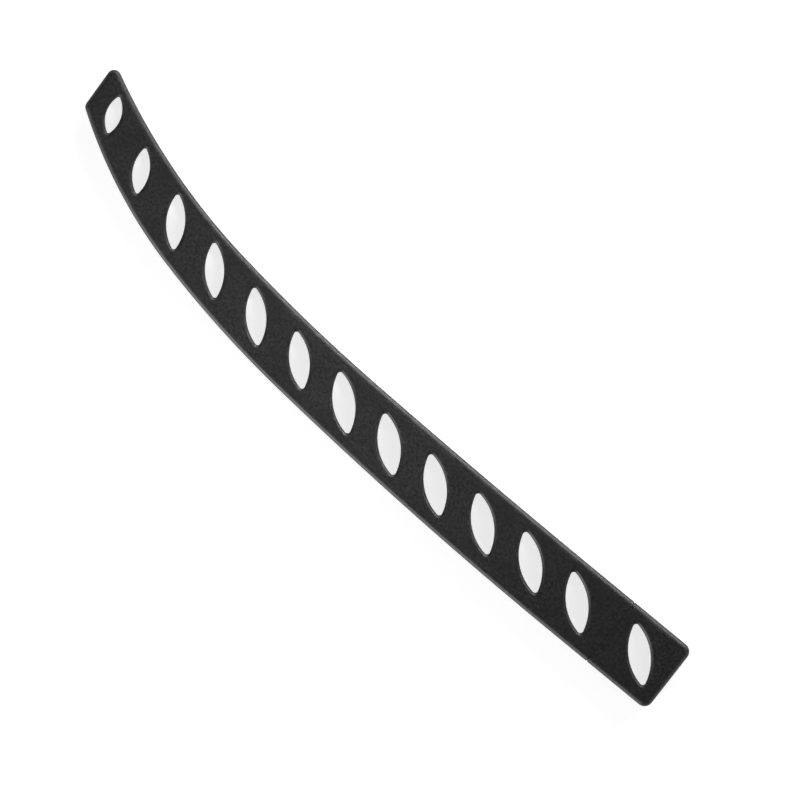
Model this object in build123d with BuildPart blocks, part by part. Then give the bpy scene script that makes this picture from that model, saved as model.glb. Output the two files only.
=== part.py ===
"""Guard for a chef's knife blade: two windowed walls on a strip that closes the edge side.

The guard lies on its back wall. X runs from the tip end to the heel end, Y from the closed edge
to the open mouth, and Z from the back wall to the front wall. The origin is the middle of the
back face. Lengths are in millimetres and angles in degrees.
"""
import os
from math import asin, atan2, degrees, radians, sin

from build123d import *

# Outline of both walls
guard_length = 209.2
heel_width = 19.4
heel_slant = 0.5
tip_slant = 0.9
heel_corner = 2.3
tip_corner = 1.8

# Closed edge: a straight from the heel end, a gentle arc, and belly and tip arcs that bend ever
# more to the mouth. The straight and the gentle arc share what the other two leave of the length.
closed_straight_share = 0.2635
closed_heel_angle = 4.4
closed_belly_radius = 295.5
closed_belly_angle = 8.22
closed_tip_radius = 129.1
closed_tip_angle = 20.65

# Mouth edge: the same run of straight and arcs along the open side
mouth_straight_share = 0.3251
mouth_heel_angle = 1.66
mouth_belly_radius = 478.2
mouth_belly_angle = 5.54
mouth_tip_radius = 173.8
mouth_tip_angle = 19.6

# Walls
wall = 1.6
blade_gap = 2.2
edge_round_share = 0.75
lead_in_share = 0.2

# Windows: slanted lenses through both walls, shorter towards the tip, where their steps are a
# little longer. The last one lies past the seam, and it and its neighbour are tilted a bit more.
window_length = 15.7
window_width = 5.7
window_tip_share = 0.14
window_tilt = 40.3
heel_window_tilt = 43.5
window_pitch = 15.66
tip_spread_share = 0.01
tip_spread_count = 4
tip_window_inset = 8.69
heel_window_inset = 10.0
seam_web = 18.0
rim_bevel_share = 0.25
tip_length_shares = [0.61, 0.74, 0.89, 0.89, 0.93, 0.93]
tip_width_shares = [0.71, 0.76, 0.85, 0.86, 0.91, 0.91]
row_rise_shares = [0.52, 0.505, 0.525, 0.525, 0.515, 0.51, 0.5, 0.49, 0.49, 0.51, 0.53, 0.515]
heel_rise_share = 0.51

# Seam: a shallow line round the walls, where the heel end's mould insert begins
seam_inset = 19.9
seam_width = 0.3
seam_depth = 0.15

# Strip between the walls: it closes the edge side and turns up across the tip end
keel_height = 3.2
keel_tip_wall = 2.6
keel_setback = 0.2
keel_corner = 1.5

# Pins that hold both walls to the strip, one at every sixth web and one at each end
pin_diameter = 1.2
pin_depth = 0.9
pin_clearance = 0.03
pin_end_clearance = 0.1
webs_per_pin_count = 6
tip_pin_share = 0.72

# Ribs inside the mouth that press on the blade, one at every second web
rib_length = 5.0
rib_width = 1.2
rib_height = 0.35
rib_offset = 4.6
webs_per_rib_count = 2

# One overrun for all cuts, and how near a point must lie to count as on a line
overrun = 5.0
touch = 0.05

thickness = wall + blade_gap + wall
front_inner = wall + blade_gap
edge_round = wall * edge_round_share
lead_in = wall * lead_in_share
rim_bevel = wall * rim_bevel_share
heel_x = guard_length / 2
tip_x = -guard_length / 2
seam_x = heel_x - seam_inset


def heel_part(reach, straight_share, heel_angle, later_arcs):
    """Straight and gentle arc's radius that fill what the later arcs leave of an edge's reach."""
    heading = heel_angle
    for radius, turn in later_arcs:
        reach -= radius * (sin(radians(heading + turn)) - sin(radians(heading)))
        heading += turn
    return reach * straight_share, reach * (1 - straight_share) / sin(radians(heel_angle))


def edge_run(start, straight, arcs, end_x):
    """Draw an edge from the heel: a straight, then tangent arcs, the last as far as end_x."""
    run = Line(start, start - Vector(straight, 0))
    heading = 0
    for radius, turn in arcs:
        if turn is None:
            reach = (run @ 1).X - end_x
            turn = degrees(asin(sin(radians(heading)) + reach / radius)) - heading
        run = JernArc(start=run @ 1, tangent=run % 1, radius=radius, arc_size=-turn)
        heading += turn
    return run @ 1


closed_straight, closed_heel_radius = heel_part(
    guard_length - tip_slant,
    closed_straight_share,
    closed_heel_angle,
    [(closed_belly_radius, closed_belly_angle), (closed_tip_radius, closed_tip_angle)],
)

mouth_straight, mouth_heel_radius = heel_part(
    guard_length - heel_slant,
    mouth_straight_share,
    mouth_heel_angle,
    [(mouth_belly_radius, mouth_belly_angle), (mouth_tip_radius, mouth_tip_angle)],
)


def closed_arcs(rise=0):
    """Arcs of the closed edge, or of the line that runs parallel to it at the given rise."""
    return [
        (closed_heel_radius - rise, closed_heel_angle),
        (closed_belly_radius - rise, closed_belly_angle),
        (closed_tip_radius - rise, None),
    ]


mouth_arcs = [
    (mouth_heel_radius, mouth_heel_angle),
    (mouth_belly_radius, mouth_belly_angle),
    (mouth_tip_radius, None),
]

# Both edges, drawn with Y = 0 on the straight of the closed edge
with BuildLine() as closed_line:
    edge_run(Vector(heel_x, 0), closed_straight, closed_arcs(), tip_x + tip_slant)

with BuildLine() as mouth_line:
    edge_run(Vector(heel_x - heel_slant, heel_width), mouth_straight, mouth_arcs, tip_x)

closed = closed_line.wire()
mouth = mouth_line.wire()
row_length = (closed.length + mouth.length) / 2

# Outline of a wall, with its four corners rounded
with BuildSketch() as outline:
    with BuildLine():
        add(closed_line.line)
        add(mouth_line.line)
        Line(closed @ 0, mouth @ 0)
        Line(closed @ 1, mouth @ 1)
    make_face()
    corners = [outline.vertices().sort_by_distance(point)[0] for point in (closed @ 0, mouth @ 0)]
    fillet(corners, radius=heel_corner)
    corners = [outline.vertices().sort_by_distance(point)[0] for point in (closed @ 1, mouth @ 1)]
    fillet(corners, radius=tip_corner)

middle = outline.sketch.bounding_box().center()


def level(height):
    """The drawing's plane at a height above the back face, with the outline about the Z axis."""
    return Plane(origin=(-middle.X, -middle.Y, height))


def rung(inset):
    """Closed-edge point, mouth point and mean direction to the tip, at a distance from the tip end."""
    share = 1 - inset / row_length
    return closed @ share, mouth @ share, (closed % share + mouth % share).normalized()


def lens(length, width):
    """One window: two long arcs joined by round tips, with its length along X."""
    tip = width * window_tip_share
    tip_centre = length / 2 - tip
    half = width / 2
    side = (tip_centre**2 + half**2 - tip**2) / (2 * (half - tip))
    join_x = tip_centre * side / (side - tip)
    join_y = (side - half) * tip / (side - tip)
    with BuildSketch() as shape:
        with BuildLine():
            ThreePointArc((-join_x, join_y), (0, half), (join_x, join_y))
            ThreePointArc((join_x, join_y), (length / 2, 0), (join_x, -join_y))
            ThreePointArc((join_x, -join_y), (0, -half), (-join_x, -join_y))
            ThreePointArc((-join_x, -join_y), (-length / 2, 0), (-join_x, join_y))
        make_face()
    return shape.sketch


# Window places, from the tip end: steps as far as the seam, then one in the heel end
row_room = row_length - tip_window_inset - seam_web - heel_window_inset
window_count = 1 + int(row_room / window_pitch)
spreads = [step + tip_spread_share * min(step, tip_spread_count) for step in range(window_count)]
insets = [tip_window_inset + window_pitch * spread for spread in spreads]
last_inset = row_length - heel_window_inset


def on_row(inset, rise_share, tilt):
    """Place on the window row, its X along the row to the heel, tilted down to the closed edge."""
    low, high, forward = rung(inset)
    centre = low + (high - low) * rise_share
    heading = degrees(atan2(forward.Y, -forward.X))
    return Location((centre.X, centre.Y, 0), (0, 0, -heading - tilt))


with BuildSketch() as windows:
    for step, inset in enumerate(insets):
        near_tip = step < len(tip_length_shares)
        length_share = tip_length_shares[step] if near_tip else 1
        width_share = tip_width_shares[step] if near_tip else 1
        rise_share = row_rise_shares[min(step, len(row_rise_shares) - 1)]
        tilt = window_tilt if inset != insets[-1] else heel_window_tilt
        with Locations(on_row(inset, rise_share, tilt)):
            add(lens(window_length * length_share, window_width * width_share))
    with Locations(on_row(last_inset, heel_rise_share, heel_window_tilt)):
        add(lens(window_length, window_width))

# Webs are the middles between neighbouring windows
webs = [(near + far) / 2 for near, far in zip(insets, insets[1:] + [last_inset])]


def pin_place(inset):
    """Middle of the strip's edge side, at a distance from the tip end."""
    share = 1 - inset / row_length
    along = closed % share
    return closed @ share + Vector(along.Y, -along.X) * (keel_height / 2)


tip_pin = closed @ 1 + (mouth @ 1 - closed @ 1) * tip_pin_share + Vector(keel_tip_wall / 2, 0)
pin_insets = webs[webs_per_pin_count - 1:-1:webs_per_pin_count] + [last_inset]
pin_places = [pin_place(inset) for inset in pin_insets] + [tip_pin]


def pin_circles(height, radius):
    """One circle for each pin, on a level."""
    with BuildSketch(level(height)) as circles:
        with Locations(*pin_places):
            Circle(radius)
    return circles.sketch


def ribs(height):
    """The grip ribs' footprints, lying on the webs between the windows near the mouth."""
    with BuildSketch(level(height)) as footprints:
        for inset in webs[::webs_per_rib_count]:
            with Locations(on_row(inset, heel_rise_share, window_tilt)):
                with Locations((-rib_offset, 0)):
                    Rectangle(rib_length, rib_width)
    return footprints.sketch


# Seam: what lies outside a section drawn in by the depth of the line, at the seam's place
seam_plane = Plane(origin=(seam_x - middle.X, -middle.Y, 0), x_dir=(0, 1, 0), z_dir=(1, 0, 0))

with BuildPart() as seam_cut:
    with BuildSketch(seam_plane):
        with Locations((heel_width / 2, thickness / 2)):
            Rectangle(heel_width + overrun, thickness + overrun)
            RectangleRounded(
                heel_width - 2 * seam_depth,
                thickness - 2 * seam_depth,
                edge_round - seam_depth,
                mode=Mode.SUBTRACT,
            )
    extrude(amount=seam_width / 2, both=True)


def windowed_wall(outer, inner):
    """Make a wall between the heights of its outer and inner faces, in the part being built."""
    outward = 1 if outer > inner else -1
    out_axis = Axis((0, 0, 0), (0, 0, outward))
    with BuildSketch(level(inner)) as blank:
        add(outline.sketch)
    extrude(blank.sketch, amount=wall * outward)
    fillet(faces().sort_by(out_axis)[-1].edges(), radius=edge_round)

    # Lead-in along the mouth, where the blade's edge goes in
    mouth_here = mouth.moved(level(inner).location)
    inner_edges = faces().sort_by(out_axis)[0].edges()
    chamfer(inner_edges.filter_by(lambda edge: mouth_here.distance_to(edge @ 0.5) < touch), lead_in)

    # Windows, with bevelled rims outside
    with BuildSketch(level(inner)) as lenses:
        add(windows.sketch)
    extrude(lenses.sketch, amount=wall * outward, mode=Mode.SUBTRACT)
    outer_face = faces().sort_by(out_axis)[-1]
    chamfer([edge for rim in outer_face.inner_wires() for edge in rim.edges()], rim_bevel)

    extrude(ribs(inner), amount=-rib_height * outward)
    sockets = pin_circles(inner, pin_diameter / 2 + pin_clearance)
    extrude(sockets, amount=(pin_depth + pin_end_clearance) * outward, mode=Mode.SUBTRACT)
    add(seam_cut.part, mode=Mode.SUBTRACT)


with BuildPart() as back_shell:
    windowed_wall(outer=0, inner=wall)

with BuildPart() as front_shell:
    windowed_wall(outer=thickness, inner=front_inner)

# Strip: the outline set back a little, less the channel that the blade slides into
with BuildPart() as edge_keel:
    with BuildSketch(level(wall)):
        add(outline.sketch)
        offset(amount=-keel_setback, mode=Mode.REPLACE)
        with BuildSketch(mode=Mode.PRIVATE) as channel:
            with BuildLine():
                start = Vector(heel_x + overrun, keel_height)
                foot = edge_run(start, closed_straight + overrun, closed_arcs(keel_height), tip_x + keel_tip_wall)
                top = mouth.bounding_box().max.Y + overrun
                Polyline(foot, (foot.X, top), (start.X, top), start)
            make_face()
            fillet(channel.vertices().sort_by_distance(foot)[0], radius=keel_corner)
        add(channel.sketch, mode=Mode.SUBTRACT)
    extrude(amount=blade_gap)
    extrude(pin_circles(wall, pin_diameter / 2 + pin_clearance), amount=blade_gap, mode=Mode.SUBTRACT)

with BuildPart() as keel_pins:
    extrude(pin_circles(wall - pin_depth, pin_diameter / 2), amount=blade_gap + 2 * pin_depth)

os.makedirs("parts", exist_ok=True)
pieces = {
    "front_shell": front_shell,
    "back_shell": back_shell,
    "edge_keel": edge_keel,
    "keel_pins": keel_pins,
}
for name, piece in pieces.items():
    piece.part.label = name
    export_step(piece.part, f"parts/{name}.step")
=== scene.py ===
"""Looks of the knife blade guard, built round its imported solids.

Both walls are drawn again as fine meshes, with round rims, and stand for the plain wall solids.
The guard's own sizes are in millimetres and become metres where a mesh is made. Light, floor
and camera are in metres. Angles given as numbers are in degrees.
"""

from math import atan2, cos, pi, radians, sin

import bpy
import numpy as np
from mathutils import Euler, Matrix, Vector, geometry


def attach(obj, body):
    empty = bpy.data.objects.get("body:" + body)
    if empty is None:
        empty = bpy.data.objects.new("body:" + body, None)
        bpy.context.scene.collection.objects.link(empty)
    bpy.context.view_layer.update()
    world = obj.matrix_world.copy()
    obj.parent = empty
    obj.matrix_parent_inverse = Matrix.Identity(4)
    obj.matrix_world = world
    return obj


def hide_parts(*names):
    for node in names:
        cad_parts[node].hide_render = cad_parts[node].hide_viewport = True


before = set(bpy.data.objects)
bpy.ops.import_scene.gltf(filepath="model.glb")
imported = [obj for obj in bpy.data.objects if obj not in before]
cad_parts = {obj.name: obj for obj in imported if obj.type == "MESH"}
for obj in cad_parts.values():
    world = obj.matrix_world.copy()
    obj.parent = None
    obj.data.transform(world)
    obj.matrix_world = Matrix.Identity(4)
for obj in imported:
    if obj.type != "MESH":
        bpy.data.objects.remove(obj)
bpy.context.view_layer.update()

MM = 0.001

# Outline of both walls
guard_length = 209.2
heel_width = 19.4
heel_slant = 0.5
tip_slant = 0.9
heel_corner = 2.3
tip_corner = 1.8

# Closed edge: a straight, a gentle arc, then belly and tip arcs as radius and turn
closed_straight_share = 0.2635
closed_heel_angle = 4.4
closed_later_arcs = [(295.5, 8.22), (129.1, 20.65)]

# Mouth edge: the same run along the open side
mouth_straight_share = 0.3251
mouth_heel_angle = 1.66
mouth_later_arcs = [(478.2, 5.54), (173.8, 19.6)]

# Walls
wall = 1.6
blade_gap = 2.2
edge_round = 1.35
burr_break = 0.05

# The mouth's own edge, from where the outline begins to face the mouth to where it fully does
mouth_from = 0.5
mouth_full = 0.8
lead_in = 0.22
mouth_round = 1.6
mouth_drop = 1.24
mouth_fade = 9.0
crown_width = 1.0
crown_start = -70.0
crown_run = 50.0
crown_tilt = 8.0
crown_least = 0.05

# Windows
window_length = 15.7
window_width = 5.7
window_tip_share = 0.14
window_tilt = 40.3
heel_window_tilt = 43.5
rim_round = 0.95
rim_drop = 0.9

# The row: a steady pitch from the tip end, a little wider at first, then one window past the line
window_pitch = 15.66
tip_spread_share = 0.01
tip_spread_count = 4
tip_window_inset = 8.69
heel_window_inset = 10.0
seam_web = 18.0

# Windows near the tip are smaller, and each one's middle lies at a share of the guard's width
tip_length_shares = [0.61, 0.74, 0.89, 0.89, 0.93, 0.93]
tip_width_shares = [0.71, 0.76, 0.85, 0.86, 0.91, 0.91]
row_rise_shares = [0.52, 0.505, 0.525, 0.525, 0.515, 0.51, 0.5, 0.49, 0.49, 0.51, 0.53, 0.515]
heel_rise_share = 0.51

# Fine line near the heel end: shallow on the faces, a small nick over the edges
seam_inset = 19.6
seam_width = 0.5
seam_shoulder = 0.1
seam_depth = 0.05
seam_tilt = 8
nick_depth = 0.2
nick_tilt = 40

# Grip ribs inside the mouth
rib_length = 5.0
rib_width = 1.2
rib_height = 0.35
rib_corner = 0.4
rib_round = 0.2
rib_foot = rib_height / 4
rib_offset = 4.6
webs_per_rib = 2

# How finely the meshes are drawn
straight_samples = 200
arc_samples = 400
column_step = 1.6
corner_steps = 9
lens_side_steps = 16
lens_tip_steps = 9
edge_round_steps = 8
rim_round_steps = 5
rib_corner_steps = 3
rib_round_steps = 3

# Room kept round the line's columns, and how near counts as being on one of them
seam_clearance = column_step / 3
same_column = 0.005

# A cap is first filled over its whole hull, and spots this near become one
whole_cap = 0
same_spot = 1e-7

heel_x = guard_length / 2
tip_x = -guard_length / 2
seam_x = heel_x - seam_inset
thickness = wall + blade_gap + wall

# The line's columns from its heel side to its tip side: place, share of the depth, way it leans
seam_columns = [
    (seam_x + seam_width / 2 + seam_shoulder, 0, 0),
    (seam_x + seam_width / 2, 0, -1),
    (seam_x + seam_width / 4, 1, -1),
    (seam_x - seam_width / 4, 1, 1),
    (seam_x - seam_width / 2, 0, 1),
    (seam_x - seam_width / 2 - seam_shoulder, 0, 0),
]


# An edge is a set of columns x, y, heading and length along it, from the heel to the tip
def edge_run(start_x, start_y, end_x, straight_share, heel_angle, later_arcs):
    """Draw an edge: a straight and a gentle arc share what the later arcs leave of its reach."""
    reach = start_x - end_x
    heading = heel_angle
    for radius, turn in later_arcs:
        reach -= radius * (sin(radians(heading + turn)) - sin(radians(heading)))
        heading += turn
    straight = reach * straight_share
    heel_radius = (reach - straight) / sin(radians(heel_angle))
    xs = [np.linspace(start_x, start_x - straight, straight_samples)]
    ys = [np.full(straight_samples, start_y)]
    headings = [np.zeros(straight_samples)]
    heading = 0.0
    for radius, turn in [(heel_radius, heel_angle), *later_arcs]:
        sweep = np.radians(np.linspace(heading, heading + turn, arc_samples))[1:]
        xs.append(xs[-1][-1] - radius * (np.sin(sweep) - sin(radians(heading))))
        ys.append(ys[-1][-1] + radius * (cos(radians(heading)) - np.cos(sweep)))
        headings.append(sweep)
        heading += turn
    x, y, h = (np.concatenate(values) for values in (xs, ys, headings))
    lengths = np.concatenate([[0], np.cumsum(np.hypot(np.diff(x), np.diff(y)))])
    return np.column_stack([x, y, h, lengths])


def along(edge, lengths):
    """The edge's columns at the given lengths along it."""
    return np.column_stack([np.interp(lengths, edge[:, 3], edge[:, k]) for k in range(4)])


closed_edge = edge_run(
    heel_x, 0.0, tip_x + tip_slant,
    closed_straight_share, closed_heel_angle, closed_later_arcs,
)
mouth_edge = edge_run(
    heel_x - heel_slant, heel_width, tip_x,
    mouth_straight_share, mouth_heel_angle, mouth_later_arcs,
)
row_length = (closed_edge[-1, 3] + mouth_edge[-1, 3]) / 2


def rung(inset):
    """Closed-edge point, mouth point and heading at a distance from the tip end."""
    share = 1 - inset / row_length
    low = along(closed_edge, [share * closed_edge[-1, 3]])[0]
    high = along(mouth_edge, [share * mouth_edge[-1, 3]])[0]
    forward = np.array([-cos(low[2]) - cos(high[2]), sin(low[2]) + sin(high[2])])
    return low[:2], high[:2], atan2(forward[1], -forward[0])


# A loop is points and normals that point from its line into the material. A run is part of one
def turned(loop, centre, angle, shift=0.0):
    """A loop moved along its own X, then turned, then put at a centre."""
    points, normals = loop
    turn = np.array([[cos(angle), sin(angle)], [-sin(angle), cos(angle)]])
    return (points + [shift, 0]) @ turn + centre, normals @ turn


def arc(centre, radius, start, end, steps):
    """Points and outward normals on an arc, both ends included."""
    angles = np.linspace(start, end, steps + 1)
    normals = np.column_stack([np.cos(angles), np.sin(angles)])
    return np.array(centre) + radius * normals, normals


def cut(run, first=None, last=None, step=None):
    """A slice of a run."""
    points, normals = run
    return points[first:last:step], normals[first:last:step]


def back(run):
    """A run in the other direction."""
    return cut(run, step=-1)


def join(runs):
    """One loop from several runs."""
    points, normals = zip(*runs)
    return np.vstack(points), np.vstack(normals)


def lens(length, width):
    """Window outline: two long arcs joined by round tips, with its length along X."""
    tip = width * window_tip_share
    tip_centre = length / 2 - tip
    half = width / 2
    side = (tip_centre**2 + half**2 - tip**2) / (2 * (half - tip))
    reach = atan2(side - half, tip_centre)
    arcs = [
        arc((0, half - side), side, reach, pi - reach, lens_side_steps),
        arc((-tip_centre, 0), tip, pi - reach, pi + reach, lens_tip_steps),
        arc((0, side - half), side, pi + reach, 2 * pi - reach, lens_side_steps),
        arc((tip_centre, 0), tip, -reach, reach, lens_tip_steps),
    ]
    # Each arc ends where the next one starts
    return join([cut(run, last=-1) for run in arcs])


def rounded_bar(length, width, corner):
    """Outline of a rib: a rectangle with round corners, with its length along X."""
    x = length / 2 - corner
    y = width / 2 - corner
    centres = [(x, y), (-x, y), (-x, -y), (x, -y)]
    corners = []
    for k, centre in enumerate(centres):
        corners.append(arc(centre, corner, k * pi / 2, (k + 1) * pi / 2, rib_corner_steps))
    points, outward = join(corners)
    return points, -outward


def edge_normals(columns, inward):
    """Normals of edge columns, pointing into the wall. Inward is 1 on the closed edge, -1 on the mouth."""
    return inward * np.column_stack([np.sin(columns[:, 2]), np.cos(columns[:, 2])])


def corner_arc(edge, inward, line_point, line_normal, radius):
    """Where on an edge a corner's arc starts, and the arc from there to the end line."""
    centres = edge[:, :2] + radius * edge_normals(edge, inward)
    gaps = (centres - line_point) @ line_normal - radius
    near = np.abs(gaps) < radius
    order = np.argsort(gaps[near])
    length = np.interp(0, gaps[near][order], edge[near, 3][order])
    column = along(edge, [length])
    normal = edge_normals(column, inward)[0]
    centre = column[0, :2] + radius * normal
    start = atan2(-normal[1], -normal[0])
    end = atan2(-line_normal[1], -line_normal[0])
    sweep = (end - start + pi) % (2 * pi) - pi
    points, outward = arc(centre, radius, start, start + sweep, corner_steps)
    return length, (points, -outward)


def end_normal(low, high, towards):
    """Normal of an end line, pointing to the guard's middle."""
    line = (high - low) / np.linalg.norm(high - low)
    return towards * np.array([line[1], -line[0]])


def edge_columns(edge, start, end):
    """An edge's columns between its corner arcs, the fine line's columns among them."""
    marks = edge[0, 0] - np.array([place for place, _, _ in seam_columns])
    steps = np.linspace(start, end, int((end - start) / column_step))
    clear = np.min(np.abs(steps[:, None] - marks), axis=1) > seam_clearance
    # The first and last column belong to the corner arcs
    return along(edge, np.sort(np.concatenate([steps[clear], marks])))[1:-1]


def outline_loop():
    """The walls' outline, clockwise from the heel along the closed edge and back along the mouth."""
    heel_normal = end_normal(closed_edge[0, :2], mouth_edge[0, :2], -1)
    tip_normal = end_normal(closed_edge[-1, :2], mouth_edge[-1, :2], 1)
    sides = []
    for edge, inward in ((closed_edge, 1), (mouth_edge, -1)):
        start, heel_arc = corner_arc(edge, inward, edge[0, :2], heel_normal, heel_corner)
        end, tip_arc = corner_arc(edge, inward, edge[-1, :2], tip_normal, tip_corner)
        columns = edge_columns(edge, start, end)
        sides.append(join([back(heel_arc), (columns[:, :2], edge_normals(columns, inward)), tip_arc]))
    closed_side, mouth_side = sides
    return join([closed_side, back(mouth_side)])


row_room = row_length - tip_window_inset - seam_web - heel_window_inset
window_count = 1 + int(row_room / window_pitch)
spreads = [step + tip_spread_share * min(step, tip_spread_count) for step in range(window_count)]
insets = [tip_window_inset + window_pitch * spread for spread in spreads]
last_inset = row_length - heel_window_inset
webs = [(near + far) / 2 for near, far in zip(insets, insets[1:] + [last_inset])]


def on_row(loop, inset, rise_share, tilt, shift=0.0):
    """A loop put on the window row, tilted down to the closed edge."""
    low, high, heading = rung(inset)
    return turned(loop, low + (high - low) * rise_share, -heading - radians(tilt), shift)


def window_loops():
    """All window outlines, from the tip end to the heel end."""
    loops = []
    for step, inset in enumerate(insets):
        near_tip = step < len(tip_length_shares)
        length = window_length * (tip_length_shares[step] if near_tip else 1)
        width = window_width * (tip_width_shares[step] if near_tip else 1)
        tilt = window_tilt if inset != insets[-1] else heel_window_tilt
        loops.append(on_row(lens(length, width), inset, row_rise_shares[step], tilt))
    loops.append(on_row(lens(window_length, window_width), last_inset, heel_rise_share, heel_window_tilt))
    return loops


def rib_loops():
    """The grip ribs' outlines, on every second web."""
    bar = rounded_bar(rib_length, rib_width, rib_corner)
    return [on_row(bar, inset, heel_rise_share, window_tilt, -rib_offset) for inset in webs[::webs_per_rib]]


outline = outline_loop()
middle = (outline[0].min(axis=0) + outline[0].max(axis=0)) / 2


def on_column(places, column):
    """Which places along X lie on one of the fine line's columns."""
    return np.abs(places - column) < same_column


def seam_shape(points):
    """How far each point sinks into the fine line, and which way it leans."""
    sinks = np.zeros(len(points))
    leans = np.zeros(len(points))
    for column, sink, lean in seam_columns:
        here = on_column(points[:, 0], column)
        sinks[here] = sink
        leans[here] = lean
    return sinks, leans


def facing(normals, slopes):
    """Directions away from a loop's material, from level at slope 0 to upright at a quarter turn."""
    return np.column_stack([-normals * np.cos(slopes)[:, None], np.sin(slopes)])


def rounded(width, drop, top, steps, turns=pi / 2):
    """Offsets, heights and slopes of rings over an elliptical edge, up to the given turns."""
    for turn in np.linspace(0, turns, steps + 1):
        offset = width * (1 - np.cos(turn))
        height = top - drop * (1 - np.sin(turn))
        slope = np.arctan2(np.sin(turn) * width, np.cos(turn) * drop)
        yield offset, height, slope


def within(spots, polygon):
    """Which spots lie inside a polygon, by counting crossings."""
    inside = np.zeros(len(spots), bool)
    x, y = spots[:, 0], spots[:, 1]
    for (ax, ay), (bx, by) in zip(polygon, np.roll(polygon, -1, axis=0)):
        if ay == by:
            continue
        crosses = (ay > y) != (by > y)
        inside ^= crosses & (x < (bx - ax) * (y - ay) / (by - ay) + ax)
    return inside


class WallShape:
    """Collects vertices, normals and faces of a wall. Heights run from its inner face outwards."""

    def __init__(self):
        self.points = []
        self.normals = []
        self.faces = []

    def ring(self, loop, offset, height, slope):
        """Add one ring of a loop and give its vertices. Each value is one for all or one a point."""
        points, normals = loop
        offsets, heights, slopes = (np.broadcast_to(v, len(points)) for v in (offset, height, slope))
        sinks, leans = seam_shape(points)
        # The fine line cuts in square to the surface, and level on the inner side
        cut_slopes = np.maximum(slopes, 0)
        nicks = np.cos(cut_slopes)
        depths = (seam_depth + (nick_depth - seam_depth) * nicks) * sinks
        tilts = np.radians(seam_tilt + (nick_tilt - seam_tilt) * nicks) * leans
        spots = np.column_stack([points + normals * offsets[:, None], heights])
        spots -= facing(normals, cut_slopes) * depths[:, None]
        tilted = facing(normals, slopes) * np.cos(tilts)[:, None]
        tilted[:, 0] += np.sin(tilts)
        first = len(self.points)
        self.points.extend(spots)
        self.normals.extend(tilted / np.linalg.norm(tilted, axis=1)[:, None])
        return list(range(first, len(self.points)))

    def bands(self, rings):
        """Faces from each ring to the next."""
        for low, high in zip(rings, rings[1:]):
            for k in range(len(low)):
                self.faces.append((low[k], low[k - 1], high[k - 1], high[k]))

    def cap(self, boundary, holes=(), lines=(), down=False):
        """Fill between a boundary ring and the hole rings, keeping some lines as edges."""
        rings = [boundary, *holes]
        index = [k for ring in rings for k in ring]
        place = {k: i for i, k in enumerate(index)}
        flat = [Vector(self.points[k][:2]) for k in index]
        edges = [(place[a], place[b]) for ring in rings for a, b in zip(ring, ring[1:] + ring[:1])]
        edges += [(place[a], place[b]) for a, b in lines]
        filled = geometry.delaunay_2d_cdt(flat, edges, [], whole_cap, same_spot)
        spots, _, triangles, origins, _, _ = filled
        centres = np.array(spots)[np.array(triangles)].mean(axis=1)
        inside = np.zeros(len(centres), bool)
        for ring in rings:
            inside ^= within(centres, np.array([self.points[k][:2] for k in ring]))
        for keep, triangle in zip(inside, triangles):
            if keep:
                face = tuple(index[origins[k][0]] for k in triangle)
                self.faces.append(face[::-1] if down else face)


def outer_edge(shape):
    """Rings round the outline, from the inner face over the edge to the outer face."""
    points, normals = outline
    mouth_side = np.interp(-normals[:, 1], (mouth_from, mouth_full), (0, 1))
    breaks = burr_break + (lead_in - burr_break) * mouth_side
    rings = [shape.ring(outline, breaks, 0, -pi / 2), shape.ring(outline, 0, breaks, 0)]
    # The mouth's edge is rounder than the rest, less so at its corners. Where the windows leave
    # room, from the belly to the heel, it ends in a slight crown
    reach = np.minimum(heel_x - heel_corner - points[:, 0], points[:, 0] - tip_x - tip_corner)
    fade = mouth_side * np.clip(reach / mouth_fade, 0, 1)
    widths = edge_round + (mouth_round - edge_round) * fade
    drops = edge_round + (mouth_drop - edge_round) * fade
    crown = fade * np.clip((points[:, 0] - crown_start) / crown_run, 0, 1)
    tilts = radians(crown_tilt) * crown
    tops = wall - crown_width * np.tan(tilts) / 2
    turns = np.arctan2(np.cos(tilts) * drops, np.sin(tilts) * widths)
    for offsets, heights, slopes in rounded(widths, drops, tops, edge_round_steps, turns):
        rings.append(shape.ring(outline, offsets, heights, slopes))
    rings.append(shape.ring(outline, widths + crown_width * crown + crown_least, wall, pi / 2))
    shape.bands(rings)
    return rings[0], rings[-1]


def window_rims(shape):
    """Rings through each window. Gives their borders on the inner and the outer face."""
    inner, outer = [], []
    for loop in window_loops():
        rings = [shape.ring(loop, burr_break, 0, -pi / 2), shape.ring(loop, 0, burr_break, 0)]
        for offset, height, slope in rounded(rim_round, rim_drop, wall, rim_round_steps):
            rings.append(shape.ring(loop, offset, height, slope))
        shape.bands(rings)
        inner.append(rings[0])
        outer.append(rings[-1])
    return inner, outer


def grip_ribs(shape):
    """The ribs, which stand out from the inner face. Gives their borders on it."""
    feet = []
    for loop in rib_loops():
        rings = [shape.ring(loop, -rib_foot, 0, -pi / 2), shape.ring(loop, 0, -rib_foot, 0)]
        for offset, height, slope in rounded(rib_round, rib_round, rib_height, rib_round_steps):
            rings.append(shape.ring(loop, offset, -height, -slope))
        shape.bands(rings)
        shape.cap(rings[-1], down=True)
        feet.append(rings[0])
    return feet


def seam_lines(ring, points):
    """Pairs of a ring's vertices that face each other across the wall on each of the line's columns."""
    return [tuple(k for k in ring if on_column(points[k][0], column)) for column, _, _ in seam_columns]


def wall_shape():
    """The shape that both walls share."""
    shape = WallShape()
    inner_border, outer_border = outer_edge(shape)
    inner_rims, outer_rims = window_rims(shape)
    feet = grip_ribs(shape)
    shape.cap(outer_border, outer_rims, seam_lines(outer_border, shape.points))
    shape.cap(inner_border, inner_rims + feet, down=True)
    return shape


both_walls = wall_shape()


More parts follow.
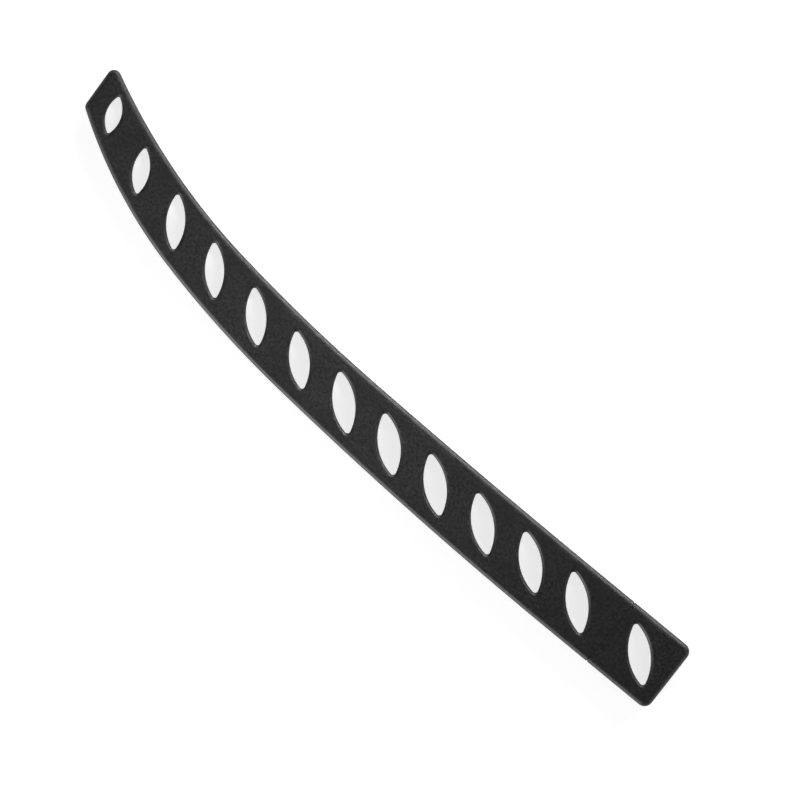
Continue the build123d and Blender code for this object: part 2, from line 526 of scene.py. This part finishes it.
def build_wall(name, front):
    """One windowed wall as a fine mesh: round outer edge and rims, fine line, lead-in and ribs."""
    base = wall + blade_gap if front else wall
    turn = 1 if front else -1
    vertices = [
        ((x - middle[0]) * MM, (y - middle[1]) * MM, (base + turn * z) * MM)
        for x, y, z in both_walls.points
    ]
    faces = both_walls.faces if front else [face[::-1] for face in both_walls.faces]
    mesh = bpy.data.meshes.new(name)
    mesh.from_pydata(vertices, [], faces)
    mesh.validate()
    mesh.polygons.foreach_set("use_smooth", [True] * len(mesh.polygons))
    mesh.normals_split_custom_set_from_vertices([(x, y, turn * z) for x, y, z in both_walls.normals])
    piece = bpy.data.objects.new(name, mesh)
    bpy.context.collection.objects.link(piece)
    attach(piece, "root")
    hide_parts("front_shell" if front else "back_shell")
    return piece


front_wall = build_wall("front_wall", True)
back_wall = build_wall("back_wall", False)


class NodeMaterial:
    """A node material, with helpers that add a node and give its output."""

    def __init__(self, name):
        self.material = bpy.data.materials.new(name)
        self.material.use_nodes = True
        self.tree = self.material.node_tree

    def add(self, kind, inputs, **settings):
        """Add a node. Each input gets another node's output or a plain value."""
        node = self.tree.nodes.new(kind)
        for key, value in settings.items():
            setattr(node, key, value)
        for key, source in inputs.items():
            self.feed(node.inputs[key], source)
        return node

    def feed(self, socket, source):
        """Link a socket to another node's output, or set it to a plain value."""
        if isinstance(source, bpy.types.NodeSocket):
            self.tree.links.new(source, socket)
        else:
            socket.default_value = source

    def shade(self, **inputs):
        """Feed the material's shader, with its sockets' names written with _ for a space."""
        shader = self.tree.nodes["Principled BSDF"]
        for key, source in inputs.items():
            self.feed(shader.inputs[key.replace("_", " ")], source)

    def maths(self, operation, first, second=0.0):
        """A calculation with one value or two."""
        return self.add("ShaderNodeMath", {0: first, 1: second}, operation=operation).outputs[0]

    def ramp(self, value, span, becomes=(0.0, 1.0)):
        """A value's span turned into another one, and held level past its ends."""
        inputs = {
            "Value": value,
            "From Min": span[0],
            "From Max": span[1],
            "To Min": becomes[0],
            "To Max": becomes[1],
        }
        return self.add("ShaderNodeMapRange", inputs).outputs[0]

    def between(self, share, start, end):
        """From a start to an end by a share."""
        return self.ramp(share, (0.0, 1.0), (start, end))

    def noise(self, vector, scale, detail, roughness):
        """Noise of a scale, with its detail and roughness."""
        inputs = {"Vector": vector, "Scale": scale, "Detail": detail, "Roughness": roughness}
        return self.add("ShaderNodeTexNoise", inputs).outputs["Fac"]


# The colour sockets of a mix node
mix_share = 0
mix_first = 6
mix_second = 7
mix_result = 2

# Textures of the plastic: scale per millimetre, detail and roughness
grain_noise = (1.3, 2.0, 1.0)
mottle_noise = (0.13, 4.0, 0.6)
wear_noise = (1.1, 4.0, 0.7)
pit_scale = 2.2

# Tone of the plastic: what grain and mottle make of the base colour, the painted highlight that makes the
# edges paler, and the paler specks of wear
grain_span = (0.4, 0.6)
grain_tones = (0.0, 2.0)
mottle_span = (0.3, 0.7)
mottle_tones = (0.6, 1.4)
# Painted highlight: how much paler the edges' colour is made
edge_highlight_tone = 1.5
wear_span = (0.58, 0.7)
wear_tone = 3

# An edge begins where the normal's upward share falls to the first value, and is full at the second
edge_span = (0.97, 0.6)

# From where the face's painted shade and smoothing towards the heel end begin to where they are full, in
# millimetres from the middle
heel_span = (25.0, 68.0)
heel_shade_tone = 0.7

# The fine line's painted shade: distances from its middle, and the share of colour and gloss left in it
line_span = (0.1, 0.5)
line_shade_tones = (0.86, 1.0)
plain_gloss = 0.5

# Roughness: what grain adds, and what burnished edges and the smoother heel end take away
rough_span = (0.3, 0.7)
rough_least = -0.05
rough_most = 0.07
edge_burnish = 0.02
heel_smoothing = 0.036


def moulded_plastic(name, base, roughness, grain):
    """Black polypropylene with a grain of some depth, a little mottle, burnished edges with a painted
    highlight and specks of wear, and painted shade in the fine line and towards the heel end.
    """
    plastic = NodeMaterial(name)
    coordinates = plastic.add("ShaderNodeTexCoord", {}).outputs["Object"]
    scaled = plastic.add("ShaderNodeVectorMath", {0: coordinates, "Scale": 1 / MM}, operation="SCALE")
    in_mm = scaled.outputs[0]

    # Grain of a millimetre down to a quarter, over a slow mottle
    fine = plastic.noise(in_mm, *grain_noise)
    pits = plastic.add("ShaderNodeTexVoronoi", {"Vector": in_mm, "Scale": pit_scale}).outputs["Distance"]
    mottle = plastic.noise(in_mm, *mottle_noise)

    # Edges: where the surface turns away from the flat faces
    normal = plastic.add("ShaderNodeNewGeometry", {}).outputs["Normal"]
    upward = plastic.add("ShaderNodeSeparateXYZ", {0: normal}).outputs["Z"]
    edge = plastic.ramp(plastic.maths("ABSOLUTE", upward), edge_span)

    # Painted shade towards the heel end: the face's colour is darkened there, and the face is a little
    # smoother
    place = plastic.add("ShaderNodeSeparateXYZ", {0: in_mm}).outputs["X"]
    towards_heel = plastic.ramp(place, heel_span)

    # Painted shade in the fine line: its colour and gloss are darker than the face beside it
    from_line = plastic.maths("ABSOLUTE", plastic.maths("SUBTRACT", place, seam_x - middle[0]))
    line_shade = plastic.ramp(from_line, line_span, line_shade_tones)

    # Colour: grain and mottle about the base, painted shade towards the heel and in the fine line, a painted
    # highlight that makes the edges paler, and paler specks of wear on the edges
    tone = plastic.ramp(fine, grain_span, grain_tones)
    tone = plastic.maths("MULTIPLY", tone, plastic.ramp(mottle, mottle_span, mottle_tones))
    tone = plastic.maths("MULTIPLY", tone, plastic.between(towards_heel, 1.0, heel_shade_tone))
    tone = plastic.maths("MULTIPLY", tone, line_shade)
    tone = plastic.maths("MULTIPLY", tone, plastic.between(edge, 1.0, edge_highlight_tone))
    value = plastic.maths("MULTIPLY", tone, base)
    grey = plastic.add("ShaderNodeCombineColor", {"Red": value, "Green": value, "Blue": value}).outputs[0]
    specks = plastic.ramp(plastic.noise(in_mm, *wear_noise), wear_span)
    wear = plastic.maths("MULTIPLY", specks, edge)
    worn = (base * wear_tone, base * wear_tone, base * wear_tone, 1)
    colours = {mix_share: wear, mix_first: grey, mix_second: worn}
    mixed = plastic.add("ShaderNodeMix", colours, data_type="RGBA")

    # Roughness: grain scatters it, edges are burnished, the heel end is smoother
    rough = plastic.ramp(fine, rough_span, (roughness + rough_least, roughness + rough_most))
    rough = plastic.maths("SUBTRACT", rough, plastic.between(edge, 0.0, edge_burnish))
    rough = plastic.maths("SUBTRACT", rough, plastic.between(towards_heel, 0.0, heel_smoothing))

    # Bump: the eroded grain
    pitted = plastic.maths("ADD", fine, pits)
    bump = plastic.add("ShaderNodeBump", {"Height": pitted, "Strength": 1.0, "Distance": grain * MM})

    plastic.shade(
        Base_Color=mixed.outputs[mix_result],
        Roughness=rough,
        Specular_IOR_Level=plastic.maths("MULTIPLY", line_shade, plain_gloss),
        Normal=bump.outputs[0],
    )
    return plastic.material


wall_plastic = moulded_plastic("wall_plastic", base=0.010, roughness=0.55, grain=0.015)
keel_plastic = moulded_plastic("keel_plastic", base=0.010, roughness=0.6, grain=0.01)
pin_plastic = moulded_plastic("pin_plastic", base=0.011, roughness=0.5, grain=0.004)

for piece in (front_wall, back_wall):
    piece.data.materials.append(wall_plastic)
for node, material in (("edge_keel", keel_plastic), ("keel_pins", pin_plastic)):
    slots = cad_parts[node].data.materials
    slots.clear()
    slots.append(material)

# Floor: pale and plain, white where the camera sees it lit, with the guard's shadow kept
floor_half = 1.5
floor_colour = (0.5, 0.5, 0.5, 1)
floor_roughness = 0.9
floor_glow = 0.78
white = (1, 1, 1, 1)


def pale_floor():
    """A matt grey that glows for the camera's own, mirrored and passing rays."""
    pale = NodeMaterial("pale_floor")
    rays = pale.add("ShaderNodeLightPath", {}).outputs
    seen = pale.maths("MAXIMUM", rays["Is Camera Ray"], rays["Is Glossy Ray"])
    seen = pale.maths("MAXIMUM", seen, rays["Is Transmission Ray"])
    pale.shade(
        Base_Color=floor_colour,
        Roughness=floor_roughness,
        Emission_Color=white,
        Emission_Strength=pale.maths("MULTIPLY", seen, floor_glow),
    )
    return pale.material


floor_corners = [(x * floor_half, y * floor_half, 0) for x, y in ((-1, -1), (1, -1), (1, 1), (-1, 1))]
floor_mesh = bpy.data.meshes.new("floor")
floor_mesh.from_pydata(floor_corners, [], [(0, 1, 2, 3)])
floor_mesh.materials.append(pale_floor())
floor = bpy.data.objects.new("floor", floor_mesh)
bpy.context.collection.objects.link(floor)


def panel_lamp(name, place, aim, size, power, grid=180):
    """A flat lamp turned to its aim. The grid is the whole angle that its light keeps to."""
    lamp = bpy.data.lights.new(name, "AREA")
    lamp.shape = "RECTANGLE"
    lamp.size, lamp.size_y = size
    lamp.energy = power
    lamp.spread = radians(grid)
    holder = bpy.data.objects.new(name, lamp)
    holder.location = place
    holder.rotation_euler = (Vector(aim) - Vector(place)).to_track_quat("-Z", "Y").to_euler()
    bpy.context.collection.objects.link(holder)


# A long soft panel beyond the mouth, and before it a gridded one for the middle of the mouth edge
panel_lamp("mouth_lamp", place=(-0.05, 0.87, 0.37), aim=(0, 0, 0), size=(0.9, 0.34), power=11.0)
panel_lamp("pool_lamp", place=(-0.008, 0.7, 0.36), aim=(-0.008, 0, 0), size=(0.13, 0.24), power=0.06, grid=16)

# Low panels past the closed edge and the heel end
panel_lamp("closed_lamp", place=(-0.13, -0.6, 0.15), aim=(0, 0, 0), size=(0.35, 0.28), power=5.0)
panel_lamp("heel_lamp", place=(0.78, 0.1, 0.3), aim=(0, 0, 0), size=(0.4, 0.3), power=1.2)

# A small gridded one overhead, for the face
panel_lamp("top_lamp", place=(-0.1, 0.06, 0.9), aim=(-0.03, 0, 0), size=(0.1, 0.1), power=0.005, grid=18)

# The studio's own dim light
studio_strength = 0.026
world = bpy.data.worlds.new("studio")
world.use_nodes = True
bpy.context.scene.world = world
background = world.node_tree.nodes["Background"]
background.inputs["Color"].default_value = white
background.inputs["Strength"].default_value = studio_strength

# Camera: straight above the guard, turned as the photograph is
photo_turn = 39.5
camera_x = 0.00593
camera_y = 0.00106
camera_height = 3.0
view_width = 0.2037
sensor_width = 36.0
camera_data = bpy.data.cameras.new("camera")
camera_data.sensor_fit = "HORIZONTAL"
camera_data.sensor_width = sensor_width
camera_data.lens = sensor_width * camera_height / view_width
camera = bpy.data.objects.new("camera", camera_data)
camera.location = (camera_x, camera_y, thickness * MM + camera_height)
camera.rotation_euler = Euler((0, 0, radians(photo_turn)))
bpy.context.collection.objects.link(camera)
bpy.context.scene.camera = camera

bpy.context.scene.view_settings.view_transform = "Standard"
